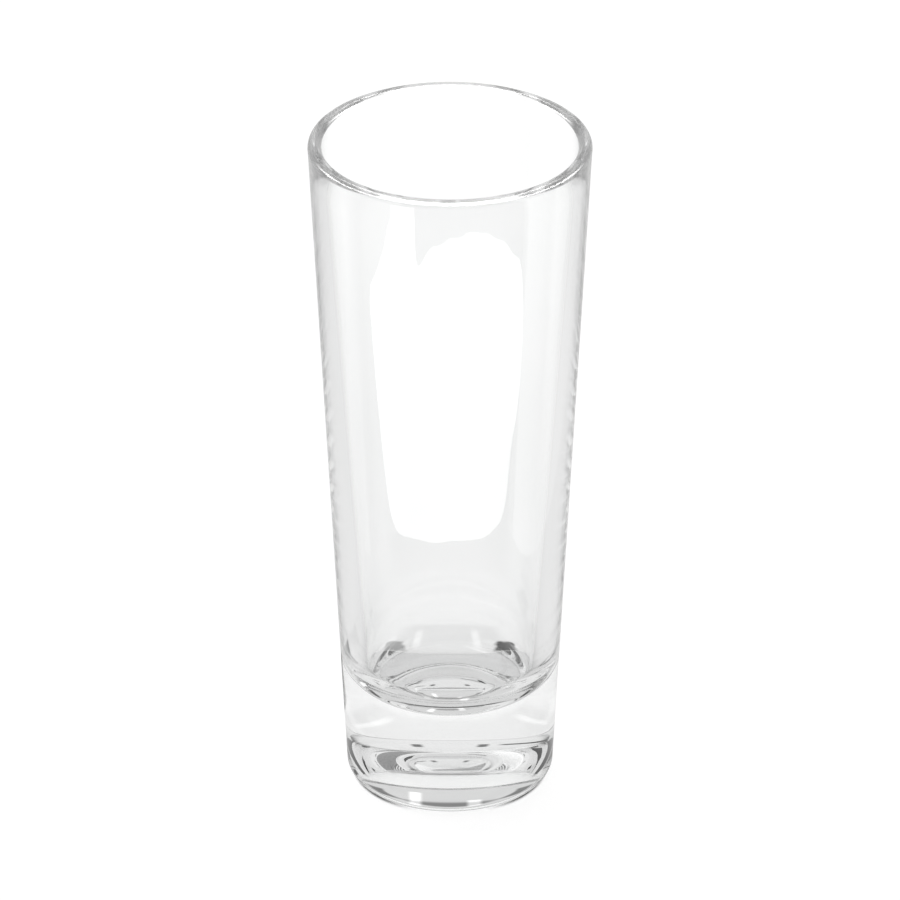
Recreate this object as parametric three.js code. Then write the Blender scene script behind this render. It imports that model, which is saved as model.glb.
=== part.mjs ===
import * as THREE from "three";

// A tall shot glass with a heavy base, in millimetres.
// It stands on z = 0 with its axis on Z, and it is two pieces of clear glass:
// the base, which is hollowed from below, and the bowl, which holds the drink.
// They meet at one flat fused joint.

// The straight tapered side
const height = 105;             // resting plane to the top of the lip
const mouthRadius = 20.83;      // outside radius where the side, carried on, meets the top
const footRadius = 15.43;       // outside radius where the side, carried on, meets z = 0

// The base
const baseHeight = 11;          // resting plane to the joint
const heelRounding = 2.2;       // radius between the side and the resting ring
const restingRing = 1.2;        // width of the flat ring that the glass stands on
const hollowDepth = 7.4;        // resting plane to the top of the hollow inside the ring
const hollowLean = 2.6;         // how far the side of the hollow leans in, up to its level top

// The bowl
const lipThickness = 2.04;      // wall at the lip, which is rounded right over
const lowWall = 3.8;            // wall at the level of the inside floor
const bowlFloor = 3.7;          // glass between the joint and the inside floor
const bottomRounding = 7.8;     // radius between the inside wall and the inside floor

// How finely round shapes are drawn
const segments = 64;            // round the axis
const arcSteps = 6;             // steps along a curve, and pairs of steps along an arc

const sideTilt = Math.atan((mouthRadius - footRadius) / height);

function sideRadius(z) {
  return footRadius + z * Math.tan(sideTilt);
}

// The heel is a circle that touches the side and the resting plane.
const heelCentre = new THREE.Vector2(0, heelRounding);
heelCentre.x = sideRadius(heelCentre.y) - heelRounding / Math.cos(sideTilt);
const hollowRadius = heelCentre.x - restingRing;

// The lip is a circle that touches the outside of the wall and the top.
const lipRadius = lipThickness / 2;
const lipCentre = new THREE.Vector2(0, height - lipRadius);
lipCentre.x = sideRadius(lipCentre.y) - lipRadius / Math.cos(sideTilt);

// The inside wall runs from its place at floor level to the inner side of the lip circle.
const floorHeight = baseHeight + bowlFloor;
const wallFoot = new THREE.Vector2(sideRadius(floorHeight) - lowWall, floorHeight);
const toLip = lipCentre.clone().sub(wallFoot);
const insideTilt = Math.atan2(toLip.x, toLip.y) - Math.asin(lipRadius / toLip.length());

// The rounding touches the inside wall and the floor, and is never wider than the floor.
const widestRounding = wallFoot.x / (1 / Math.cos(insideTilt) - Math.tan(insideTilt));
const insideRounding = Math.min(bottomRounding, widestRounding);
const roundingCentre = new THREE.Vector2(0, floorHeight + insideRounding);
roundingCentre.x = wallFoot.x + insideRounding * (Math.tan(insideTilt) - 1 / Math.cos(insideTilt));

function bowlOutline() {
  const outline = new THREE.Path();
  outline.moveTo(0, baseHeight);
  outline.lineTo(sideRadius(baseHeight), baseHeight);
  outline.absarc(lipCentre.x, lipCentre.y, lipRadius, -sideTilt, Math.PI - insideTilt, false);
  outline.absarc(roundingCentre.x, roundingCentre.y, insideRounding, -insideTilt, -Math.PI / 2, true);
  outline.lineTo(0, floorHeight);
  return outline;
}

// The hollow's outline leaves the axis level and comes down to the ring in one curve.
function baseOutline() {
  const outline = new THREE.Path();
  outline.moveTo(0, hollowDepth);
  outline.quadraticCurveTo(hollowRadius - hollowLean, hollowDepth, hollowRadius, 0);
  outline.absarc(heelCentre.x, heelCentre.y, heelRounding, -Math.PI / 2, -sideTilt, false);
  outline.lineTo(sideRadius(baseHeight), baseHeight);
  outline.lineTo(0, baseHeight);
  return outline;
}

const clearGlass = new THREE.MeshStandardMaterial({
  color: 0xf1f4f3,
  roughness: 0.03,
  metalness: 0,
  transparent: true,
  opacity: 0.35,
});

// Turns an outline, drawn as radius and height, round the Z axis.
function turned(name, outline) {
  const geometry = new THREE.LatheGeometry(outline.getPoints(arcSteps), segments);
  geometry.rotateX(Math.PI / 2);
  const mesh = new THREE.Mesh(geometry, clearGlass);
  mesh.name = name;
  return mesh;
}

const shotGlass = new THREE.Group();
shotGlass.add(turned("bowl", bowlOutline()));
shotGlass.add(turned("base", baseOutline()));

export default shotGlass;
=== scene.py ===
import math
import bpy
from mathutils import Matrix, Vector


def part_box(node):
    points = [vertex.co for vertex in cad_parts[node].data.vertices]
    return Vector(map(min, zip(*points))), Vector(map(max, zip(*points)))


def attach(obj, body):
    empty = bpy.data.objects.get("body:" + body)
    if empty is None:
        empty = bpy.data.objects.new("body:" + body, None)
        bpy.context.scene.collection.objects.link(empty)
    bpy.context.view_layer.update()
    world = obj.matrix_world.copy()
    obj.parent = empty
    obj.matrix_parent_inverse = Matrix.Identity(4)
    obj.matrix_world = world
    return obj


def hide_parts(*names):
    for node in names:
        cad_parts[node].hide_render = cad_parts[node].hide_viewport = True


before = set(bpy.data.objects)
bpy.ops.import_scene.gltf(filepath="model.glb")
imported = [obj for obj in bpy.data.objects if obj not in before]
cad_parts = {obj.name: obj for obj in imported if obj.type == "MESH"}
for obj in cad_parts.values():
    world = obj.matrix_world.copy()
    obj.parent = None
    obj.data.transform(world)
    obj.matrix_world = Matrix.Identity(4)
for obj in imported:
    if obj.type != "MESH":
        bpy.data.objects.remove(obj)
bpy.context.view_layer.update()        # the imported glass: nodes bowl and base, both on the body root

scene = bpy.context.scene
scene.view_settings.view_transform = "Standard"

# light meets many walls of the glass before it leaves
bounces = {
    "glass": 128,
    "joint": 64,
}
scene.cycles.max_bounces = bounces["glass"]
scene.cycles.transmission_bounces = bounces["glass"]
scene.cycles.glossy_bounces = bounces["glass"]
scene.cycles.transparent_max_bounces = bounces["joint"]
millimetres = 1000    # in a metre


# A socket in a shader tree that can be added, taken away and multiplied
class Wire:
    def __init__(self, tree, socket=None):
        self.tree = tree
        self.socket = socket

    def node(self, kind, settings, sockets, out=0):
        made = self.tree.nodes.new("ShaderNode" + kind)
        for name, value in settings.items():
            setattr(made, name, value)
        for name, value in sockets.items():
            if isinstance(value, Wire):
                self.tree.links.new(value.socket, made.inputs[name])
            else:
                made.inputs[name].default_value = value
        return Wire(self.tree, made.outputs[out]) if made.outputs else made

    def maths(self, operation, first, second):
        return self.node("Math", {"operation": operation}, {0: first, 1: second})

    def __add__(self, other):
        return self.maths("ADD", self, other)

    def __radd__(self, other):
        return self.maths("ADD", other, self)

    def __sub__(self, other):
        return self.maths("SUBTRACT", self, other)

    def __rsub__(self, other):
        return self.maths("SUBTRACT", other, self)

    def __mul__(self, other):
        return self.maths("MULTIPLY", self, other)

    def __rmul__(self, other):
        return self.maths("MULTIPLY", other, self)

    # 0 below low, 1 above high, eased between
    def step(self, low, high):
        return self.node("MapRange", {"interpolation_type": "SMOOTHSTEP"},
                         {"Value": self, "From Min": low, "From Max": high})

    # 1 between low and high, with soft ends
    def band(self, low, high, soft):
        return self.step(low - soft, low + soft) * (1 - self.step(high - soft, high + soft))

    # self where mask is 0, other where it is 1
    def mixed(self, other, mask):
        return self + (other - self) * mask

    def over(self, limit):
        return self.maths("GREATER_THAN", self, limit)

    def below(self, limit):
        return self.maths("LESS_THAN", self, limit)

    def size(self):
        return self.maths("ABSOLUTE", self, 0)

    # the same tone in red, green and blue
    def grey(self):
        return self.node("CombineColor", {}, {0: self, 1: self, 2: self})


def emptyTree(owner):
    owner.use_nodes = True
    owner.node_tree.nodes.clear()
    return Wire(owner.node_tree)


def noise(place, scale, detail):
    return place.node("TexNoise", {}, {"Vector": place, "Scale": scale, "Detail": detail})


# Glass

clearGlassLook = {
    "ior": 1.52,
    "palest": (0.998, 0.999, 0.999, 1),
    "deepest": (0.984, 0.989, 0.987, 1),
    "cloudScale": 60,        # per metre: patches of tint about 15 mm across
    "cloudDetail": 2,
    "cloudFrom": (0.3, 0.7),
    "smoothest": 0.0,
    "roughest": 0.008,
    "smearScale": 220,       # faint wiping marks
    "smearDetail": 4,
    "smearFrom": (0.45, 0.75),
    "waveScale": 45,         # slow waves left by the mould
    "waveDetail": 1,
    "waveHeight": 0.000006,
}


def clearGlass():
    look = clearGlassLook
    material = bpy.data.materials.new("clear_glass")
    sheet = emptyTree(material)
    place = sheet.node("TexCoord", {}, {}, "Object")
    cloud = noise(place, look["cloudScale"], look["cloudDetail"])
    smear = noise(place, look["smearScale"], look["smearDetail"])
    wave = noise(place, look["waveScale"], look["waveDetail"])
    tint = sheet.node("Mix", {"data_type": "RGBA"}, {
        0: cloud.step(*look["cloudFrom"]), 6: look["palest"], 7: look["deepest"]}, 2)
    rough = look["smoothest"] + (look["roughest"] - look["smoothest"]) * smear.step(*look["smearFrom"])
    ripple = sheet.node("Bump", {}, {"Strength": 1, "Distance": look["waveHeight"], "Height": wave})
    shader = sheet.node("BsdfPrincipled", {}, {
        "Base Color": tint, "Roughness": rough, "IOR": look["ior"],
        "Transmission Weight": 1, "Normal": ripple})
    sheet.node("OutputMaterial", {}, {"Surface": shader})
    return material


# The joint is inside the glass and doesn't show
def fusedJoint():
    material = bpy.data.materials.new("fused_joint")
    sheet = emptyTree(material)
    clear = sheet.node("BsdfTransparent", {}, {})
    sheet.node("OutputMaterial", {}, {"Surface": clear})
    return material


clearGlassMaterial = clearGlass()
fusedJointMaterial = fusedJoint()
print("glass materials made")

# The straight tapered side, which both pieces share
side = {
    "mouthRadius": 0.02083,    # where the side, carried on, meets the top
    "footRadius": 0.01543,     # and the table
    "top": round(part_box("bowl")[1].z, 4),
    "joint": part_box("base")[1].z,
}
sideTilt = math.atan((side["mouthRadius"] - side["footRadius"]) / side["top"])


def sideRadius(z):
    return side["footRadius"] + z * math.tan(sideTilt)


# An outline is drawn by one vertex that is pushed along
seed = 0.001


def startOutline(name, place):
    bpy.ops.object.select_all(action="DESELECT")
    bpy.ops.mesh.primitive_plane_add(size=seed)
    piece = bpy.context.object
    piece.name = name
    piece.data.name = name
    bpy.ops.object.mode_set(mode="EDIT")
    bpy.ops.mesh.select_mode(type="VERT")
    bpy.ops.mesh.select_all(action="SELECT")
    bpy.ops.mesh.merge(type="CENTER")
    bpy.ops.transform.translate(value=place)
    return piece


def pushBy(move, steps=1):
    part = tuple(length / steps for length in move)
    for step in range(steps):
        bpy.ops.mesh.extrude_vertices_move(TRANSFORM_OT_translate={"value": part})


# The glass is drawn as radius and height, in the XZ plane
def pushTo(fromPoint, toPoint, steps=1):
    pushBy((toPoint[0] - fromPoint[0], 0, toPoint[1] - fromPoint[1]), steps)


def spinArc(centre, angle, steps):
    bpy.ops.mesh.spin(steps=steps, angle=angle, center=(centre[0], 0, centre[1]), axis=(0, -1, 0))


turn = {
    "steps": 288,              # round the axis
    "weld": 0.000001,
    "sharpOver": 30,           # degrees
}


def turnOutline(piece):
    bpy.ops.mesh.select_all(action="SELECT")
    bpy.ops.mesh.spin(steps=turn["steps"], angle=2 * math.pi, center=(0, 0, 0), axis=(0, 0, 1))
    bpy.ops.mesh.select_all(action="SELECT")
    bpy.ops.mesh.remove_doubles(threshold=turn["weld"])
    bpy.ops.mesh.normals_make_consistent(inside=False)
    bpy.ops.object.mode_set(mode="OBJECT")
    bpy.ops.object.shade_smooth_by_angle(angle=math.radians(turn["sharpOver"]))
    piece.data.materials.append(clearGlassMaterial)
    piece.data.materials.append(fusedJointMaterial)
    for face in piece.data.polygons:
        if abs(face.center.z - side["joint"]) < turn["weld"]:
            face.material_index = 1


# Bowl: the tapered wall with its rounded lip and its rounded inside bottom

bowl = {
    "lipThickness": 0.00204,
    "lowWall": 0.0038,         # wall at the level of the inside floor
    "floor": 0.0037,           # glass between the joint and the inside floor
    "rounding": 0.0078,        # between the inside wall and the inside floor
    "wallSteps": 24,
    "lipSteps": 24,
    "roundingSteps": 28,
    "floorSteps": 6,
}


def makeBowl():
    lipRadius = bowl["lipThickness"] / 2
    lipZ = side["top"] - lipRadius
    lipX = sideRadius(lipZ) - lipRadius / math.cos(sideTilt)
    floorZ = side["joint"] + bowl["floor"]
    footX = sideRadius(floorZ) - bowl["lowWall"]
    reach = math.hypot(lipX - footX, lipZ - floorZ)
    insideTilt = math.atan2(lipX - footX, lipZ - floorZ) - math.asin(lipRadius / reach)
    roundX = footX + bowl["rounding"] * (math.tan(insideTilt) - 1 / math.cos(insideTilt))
    roundZ = floorZ + bowl["rounding"]

    jointEdge = (sideRadius(side["joint"]), side["joint"])
    lipOuter = (lipX + lipRadius * math.cos(sideTilt), lipZ - lipRadius * math.sin(sideTilt))
    lipInner = (lipX - lipRadius * math.cos(insideTilt), lipZ + lipRadius * math.sin(insideTilt))
    roundTop = (roundX + bowl["rounding"] * math.cos(insideTilt),
                roundZ - bowl["rounding"] * math.sin(insideTilt))
    roundFoot = (roundX, floorZ)

    piece = startOutline("bowl_glass", (0, 0, side["joint"]))
    pushTo((0, side["joint"]), jointEdge)
    pushTo(jointEdge, lipOuter, bowl["wallSteps"])
    spinArc((lipX, lipZ), -(math.pi + sideTilt - insideTilt), bowl["lipSteps"])
    pushTo(lipInner, roundTop, bowl["wallSteps"])
    spinArc((roundX, roundZ), math.pi / 2 - insideTilt, bowl["roundingSteps"])
    pushTo(roundFoot, (0, floorZ), bowl["floorSteps"])
    turnOutline(piece)
    return piece


# Base: the heavy foot, with a rounded heel, a flat resting ring and the hollow inside it

base = {
    "heel": 0.0022,            # rounding between the side and the resting ring
    "ring": 0.0012,            # flat ring that the glass stands on
    "hollowDepth": 0.0074,
    "hollowLean": 0.0026,      # how far the hollow's side leans in
    "hollowSteps": 36,
    "heelSteps": 18,
    "sideSteps": 6,
}


def makeBase():
    heelX = sideRadius(base["heel"]) - base["heel"] / math.cos(sideTilt)
    hollowX = heelX - base["ring"]
    shoulderX = hollowX - base["hollowLean"]
    heelTop = (heelX + base["heel"] * math.cos(sideTilt), base["heel"] * (1 - math.sin(sideTilt)))
    jointEdge = (sideRadius(side["joint"]), side["joint"])

    piece = startOutline("base_glass", (0, 0, base["hollowDepth"]))
    at = (0, base["hollowDepth"])
    for step in range(1, base["hollowSteps"] + 1):
        t = step / base["hollowSteps"]
        to = (2 * shoulderX * t * (1 - t) + hollowX * t * t, base["hollowDepth"] * (1 - t * t))
        pushTo(at, to)
        at = to
    pushTo((hollowX, 0), (heelX, 0), 2)
    spinArc((heelX, base["heel"]), -(math.pi / 2 - sideTilt), base["heelSteps"])
    pushTo(heelTop, jointEdge, base["sideSteps"])
    pushTo(jointEdge, (0, side["joint"]))
    turnOutline(piece)
    return piece


bowlGlass = makeBowl()
baseGlass = makeBase()
for piece, node in ((bowlGlass, "bowl"), (baseGlass, "base")):
    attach(piece, "root")
    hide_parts(node)
    print(piece.name, len(piece.data.polygons), "faces")

# Table: pale. Seen straight it is white, with the real shadow of the glass and a painted contact shadow
# under the heel; through the glass and in reflections it shows painted light and shade.

table = {
    "size": 6,                       # metres
    "gap": 0.00003,                  # under the resting ring
    "paint": (0.5, 0.5, 0.5, 1),
    "white": 0.83,
    "contact": 0,                    # shade under the rounded heel, towards the sides
    "contactPlace": (12, 14.6),      # millimetres from the axis
    "contactSoft": 0.3,
    "contactSides": (5, 11),
    "through": (1.03, 1.1),          # tone through the glass, near it and further back
    "throughFrom": (90, 180),        # millimetres along Y
    "mirrored": (0.14, 0.81),        # tone in reflections, in front of the glass and behind it; the dark front is painted shade
    "mirroredFrom": (-12, 18),
}

# Through the glass the table also shows painted light and shade, in place of the shadow and gathered light
# that the base throws on it. Millimetres.
thrown = {
    "soft": (0.4, 0.6),              # edges across and along
    "under": (0.25, 0.72),           # painted shade under the base: tone at its front and further back
    "underFrom": (-7.6, -5.4),
    "underEdge": (15, 16.5),         # distance from the axis
    "ring": 0.2,                     # painted contact shade beside the resting ring: its tone
    "ringMirrored": 0.7,             # and in reflections
    "ringPlace": (8.9, 15),
    "ringSoft": 0.35,
    "ringBack": (-0.5, 1.5),         # along Y, where it fades
    "corner": 0.1,                   # painted dark corners behind the ring, in reflections
    "cornerAcross": (8.4, 13.5),
    "cornerAlong": (7.5, 14),
    "patch": 0.1,                    # two painted dark patches behind the base, in reflections
    "patches": (((3.5, 11), (26.5, 33.5)), ((-26, -10), (16, 33))),    # each across and along
    "patchSoft": 0.6,
    "gleam": 0.5,                    # two painted light lines under the base
    "gleams": (((-5.4, -3.9), (-8, 3)), ((2.4, 4.2), (-11, -5))),
    "veil": 0.1,                     # soft shade behind the base
    "veilAcross": (-9, 9),
    "veilAlong": (15, 30),
    "veilSoft": (2, 1.5),
    "spot": (0.5, 0.85),             # ragged painted dark spots in it, left and right, seen through the bowl
    "spotSides": (-1, 1),
    "spotWalls": 2,                  # past this many walls of glass
    "spotAcross": (6.3, 10.2),
    "spotAlong": (16.8, 21.8),
    "spotSoft": (0.5, 0.6),
    "spotLean": 0.3,
    "ragged": 2,
    "raggedScale": 450,              # per metre
    "raggedDetail": 2,
    "streak": 0.16,                  # and two painted light streaks
    "streaks": ((-6, -4.8), (3.7, 4.9)),
    "streakAlong": (19, 27),
    "streakSoft": (0.4, 2),
}


def lightPath(sheet, count):
    return sheet.node("LightPath", {}, {}, count)


# 1 for what the camera sees straight or only through the glass, 0 for what is reflected or lit
def straightSight(sheet):
    return (lightPath(sheet, "Glossy Depth") + lightPath(sheet, "Diffuse Depth")).below(1)


# Paints a contact shadow into the table's white glow, under the rounded heel towards the sides
def paintedContactTone(across, away):
    sides = across.size().step(*table["contactSides"])
    shade = away.band(*table["contactPlace"], table["contactSoft"]) * sides
    return table["white"] + (table["contact"] - table["white"]) * shade


# A tone that goes from the first of two to the second
def blended(tones, mask):
    return tones[0] + (tones[1] - tones[0]) * mask


# The table's glow through or off the glass, with painted light and shade from the base and a painted dark
# front in reflections
def paintedTableTone(place, across, along, away):
    apart = across.size()
    straight = straightSight(place)
    softAcross, softAlong = thrown["soft"]

    through = blended(table["through"], along.step(*table["throughFrom"]))
    # painted shade: in reflections the table is dark in front of the glass and pale behind it
    mirrored = blended(table["mirrored"], along.step(*table["mirroredFrom"]))
    # two painted dark patches behind the base, in reflections
    for patchAcross, patchAlong in thrown["patches"]:
        patch = across.band(*patchAcross, thrown["patchSoft"]) * along.band(*patchAlong, thrown["patchSoft"])
        mirrored = mirrored.mixed(thrown["patch"], patch)
    tone = mirrored.mixed(through, straight)

    # painted shade under the base, beside the resting ring and in two corners behind it
    under = blended(thrown["under"], along.step(*thrown["underFrom"]))
    ring = away.band(*thrown["ringPlace"], thrown["ringSoft"])
    corner = apart.band(*thrown["cornerAcross"], softAcross) * along.band(*thrown["cornerAlong"], softAlong)
    underMirrored = under.mixed(thrown["ringMirrored"], ring).mixed(thrown["corner"], corner)
    under = under.mixed(thrown["ring"], ring * (1 - along.step(*thrown["ringBack"])))
    under = underMirrored.mixed(under, straight)
    # two painted light lines under the base
    for gleamAcross, gleamAlong in thrown["gleams"]:
        gleam = across.band(*gleamAcross, softAcross) * along.band(*gleamAlong, softAlong)
        under = under + thrown["gleam"] * gleam
    tone = under.mixed(tone, away.step(*thrown["underEdge"]))

    # painted shade behind the base, with ragged painted dark spots in it
    spotAcross, spotAlong = thrown["spotSoft"]
    ragged = thrown["ragged"] * (noise(place, thrown["raggedScale"], thrown["raggedDetail"]) - 0.5)
    lean = apart - thrown["spotLean"] * (along - thrown["spotAlong"][0]) + ragged
    spot = lean.band(*thrown["spotAcross"], spotAcross)
    spot = spot * (along + ragged).band(*thrown["spotAlong"], spotAlong)
    spot = spot * lightPath(place, "Transmission Depth").over(thrown["spotWalls"])
    spot = spot * blended(thrown["spot"], across.step(*thrown["spotSides"]))
    veilAcross, veilAlong = thrown["veilSoft"]
    veil = across.band(*thrown["veilAcross"], veilAcross) * along.band(*thrown["veilAlong"], veilAlong)
    tone = tone - thrown["veil"] * veil - spot
    # two painted light streaks behind the base
    streakSide, streakEnd = thrown["streakSoft"]
    for streakAcross in thrown["streaks"]:
        streak = across.band(*streakAcross, streakSide) * along.band(*thrown["streakAlong"], streakEnd)
        tone = tone + thrown["streak"] * streak
    return tone


def makeTable():
    bpy.ops.object.select_all(action="DESELECT")
    bpy.ops.mesh.primitive_plane_add(size=table["size"], location=(0, 0, -table["gap"]))
    board = bpy.context.object
    board.name = "table"
    material = bpy.data.materials.new("pale_table")
    sheet = emptyTree(material)
    place = sheet.node("TexCoord", {}, {}, "Object")
    across = millimetres * sheet.node("SeparateXYZ", {}, {"Vector": place}, "X")
    along = millimetres * sheet.node("SeparateXYZ", {}, {"Vector": place}, "Y")
    away = millimetres * sheet.node("VectorMath", {"operation": "LENGTH"}, {0: place}, "Value")
    # The camera sees paint, which takes the glass's real shadow, and white glow with the painted contact
    # shadow; through or off the glass the table is a glow with painted light and shade
    glow = sheet.node("Emission", {}, {"Color": paintedTableTone(place, across, along, away).grey()})
    paint = sheet.node("BsdfDiffuse", {}, {"Color": table["paint"]})
    white = sheet.node("Emission", {}, {"Color": paintedContactTone(across, away).grey()})
    seen = sheet.node("AddShader", {}, {0: paint, 1: white})
    shader = sheet.node("MixShader", {}, {0: lightPath(sheet, "Is Camera Ray"), 1: glow, 2: seen})
    sheet.node("OutputMaterial", {}, {"Surface": shader})
    board.data.materials.append(material)


makeTable()
print("table made")

# Bounce card: lies in front of the glass, out of the picture, and shines in the wall

bounceCard = {
    "outline": (               # millimetres
        (-72, -54), (-152, -54), (-140, -106), (-139, -126), (-158, -150), (-104, -196), (-78, -147),
        (-46, -168), (0, -177), (52, -172), (90, -154), (122, -127), (147, -86), (136, -67), (108, -61),
        (90, -67), (72, -60), (52, -72), (26, -84), (0, -88), (-26, -83), (-46, -75)),
    "height": 0.001,
    "rounding": 0.012,
    "roundingSteps": 5,
    "glow": 3.2,
}


def makeBounceCard():
    look = bounceCard
    outline = [(x / millimetres, y / millimetres) for x, y in look["outline"]]
    card = startOutline("bounce_card", (*outline[0], look["height"]))
    for (x, y), (nextX, nextY) in zip(outline, outline[1:]):
        pushBy((nextX - x, nextY - y, 0))
    bpy.ops.mesh.select_all(action="SELECT")
    bpy.ops.mesh.edge_face_add()
    bpy.ops.mesh.bevel(offset=look["rounding"], segments=look["roundingSteps"], affect="VERTICES",
                       clamp_overlap=True)
    bpy.ops.object.mode_set(mode="OBJECT")
    material = bpy.data.materials.new("card_light")
    sheet = emptyTree(material)
    glow = sheet.node("Emission", {}, {"Color": (1, 1, 1, 1), "Strength": look["glow"]})
    sheet.node("OutputMaterial", {}, {"Surface": glow})
    card.data.materials.append(material)
    card.visible_camera = False
    card.visible_diffuse = False
    card.visible_transmission = False
    card.visible_shadow = False


makeBounceCard()
print("bounce card made")

# Side cards: stand low beside the glass, out of the picture, and show pale in its base

sideCards = {
    "height": 0.088,
    "left_card": {"x": -0.07, "from": 0.0, "to": 0.11, "tone": (0.8, 0.8, 0.8, 1)},
    "right_card": {"x": 0.07, "from": -0.03, "to": 0.11, "tone": (0.85, 0.85, 0.85, 1)},
}


def makeSideCard(name):
    look = sideCards[name]
    middle = (look["x"], (look["from"] + look["to"]) / 2, sideCards["height"] / 2)
    bpy.ops.object.select_all(action="DESELECT")
    bpy.ops.mesh.primitive_plane_add(size=1, location=middle, rotation=(0, math.pi / 2, 0))
    card = bpy.context.object
    card.name = name
    card.scale = (sideCards["height"], look["to"] - look["from"], 1)
    material = bpy.data.materials.new(name)
    sheet = emptyTree(material)
    dim = sheet.node("Emission", {}, {"Color": look["tone"]})
    white = sheet.node("Emission", {}, {"Color": (1, 1, 1, 1)})
    shader = sheet.node("MixShader", {}, {0: straightSight(sheet), 1: dim, 2: white})
    sheet.node("OutputMaterial", {}, {"Surface": shader})
    card.data.materials.append(material)
    card.visible_camera = False
    card.visible_diffuse = False
    card.visible_glossy = False
    card.visible_shadow = False


makeSideCard("left_card")
makeSideCard("right_card")
print("side cards made")

# Room: a backdrop of pale panels, soft light high on the left, and darker walls elsewhere

room = {
    "low": 0.55,
    "wall": 0.2,
    "wallFrom": (0.34, 0.42),      # upward part of the direction
    "left": 1.1,
    "right": 0.36,
    "rightFrom": (-0.05, 0.3),     # direction along X
    "highFrom": (0.6, 0.68),
    "top": 0.4,
    "topFrom": (0.9, 0.94),
    "backdrop": 0.88,
    "backdropEdge": (0.55, 0.75),  # sideways for each unit back
    "backdropTop": (0.85, 0.9),
    "gap": 0.2,                    # dark gaps between the panels
    "gapPlace": (0.135, 0.185),
    "gapHeight": (0.425, 0.62),
    "gapSoft": (0.015, 0.012),
    "flag": 0.12,                  # dark flag behind, on the left
    "flagPlace": (-0.78, -0.25),
    "flagHeight": (0.465, 0.545),
    "flagSoft": (0.03, 0.015),
    "behindFrom": (0, 0.02),       # direction along Y
    "front": 0.14,                 # upper part of the room in front
    "frontFrom": (0.1, 0.35),
    "hoop": 14,                    # bright hoop overhead, which only the lip mirrors
    "hoopPlace": (0.26, 0.52),     # and up to hoopFront in the middle
    "hoopFront": 1,
    "hoopSides": (0.35, 0.8),
    "hoopLean": 0.35,
    "hoopSoft": 0.04,
    "hoopEnd": (0.3, 0.7),         # direction along Y
    "hoopRays": 3,                 # fewer than this for a first reflection
}


def makeRoom():
    world = bpy.data.worlds.new("room")
    scene.world = world
    sheet = emptyTree(world)
    towards = sheet.node("TexCoord", {}, {}, "Generated")
    across = sheet.node("SeparateXYZ", {}, {"Vector": towards}, "X")
    along = sheet.node("SeparateXYZ", {}, {"Vector": towards}, "Y")
    upward = sheet.node("SeparateXYZ", {}, {"Vector": towards}, "Z")
    slant = sheet.maths("DIVIDE", across, along)
    aside = slant.size()

    high = blended((room["left"], room["right"]), across.step(*room["rightFrom"]))
    tone = blended((room["low"], room["wall"]), upward.step(*room["wallFrom"]))
    tone = tone.mixed(high, upward.step(*room["highFrom"]))
    tone = tone.mixed(room["top"], upward.step(*room["topFrom"]))
    tone = tone.mixed(room["front"], (0 - along).step(*room["frontFrom"]) * upward.step(*room["wallFrom"]))

    gapAside, gapUp = room["gapSoft"]
    gap = aside.band(*room["gapPlace"], gapAside) * upward.band(*room["gapHeight"], gapUp)
    panels = blended((room["backdrop"], room["gap"]), gap)
    behind = along.step(*room["behindFrom"])
    backdrop = (1 - aside.step(*room["backdropEdge"])) * behind
    tone = tone.mixed(panels, backdrop * (1 - upward.step(*room["backdropTop"])))
    flagAside, flagUp = room["flagSoft"]
    flag = slant.band(*room["flagPlace"], flagAside) * upward.band(*room["flagHeight"], flagUp)
    tone = tone.mixed(room["flag"], flag * behind)

    mirrored = lightPath(sheet, "Glossy Depth").over(0)
    first = lightPath(sheet, "Ray Depth").below(room["hoopRays"])
    low, high = room["hoopPlace"]
    broad = 1 - across.size().step(*room["hoopSides"])
    high = blended((high, room["hoopFront"]), broad)
    hoop = (upward + room["hoopLean"] * along).band(low, high, room["hoopSoft"])
    hoop = hoop * (1 - along.step(*room["hoopEnd"]))
    tone = tone + room["hoop"] * hoop * mirrored * first

    studio = sheet.node("Background", {}, {"Color": tone.grey()})
    white = sheet.node("Background", {}, {"Color": (1, 1, 1, 1)})
    light = sheet.node("MixShader", {}, {0: straightSight(sheet), 1: studio, 2: white})
    sheet.node("OutputWorld", {}, {"Surface": light})


makeRoom()

# Camera, as the photograph was taken

view = {
    "distance": 1.2,
    "elevation": 27.88,        # degrees above the horizon
    "aimHeight": 0.05403,
    "lens": 323.2,
    "sensor": 36,
    "nearest": 0.01,
}


def makeCamera():
    tilt = math.radians(view["elevation"])
    place = (0, -view["distance"] * math.cos(tilt), view["aimHeight"] + view["distance"] * math.sin(tilt))
    bpy.ops.object.select_all(action="DESELECT")
    bpy.ops.object.camera_add(location=place, rotation=(math.pi / 2 - tilt, 0, 0))
    camera = bpy.context.object
    camera.data.lens = view["lens"]
    camera.data.sensor_width = view["sensor"]
    camera.data.clip_start = view["nearest"]
    scene.camera = camera


makeCamera()
print("room and camera set")
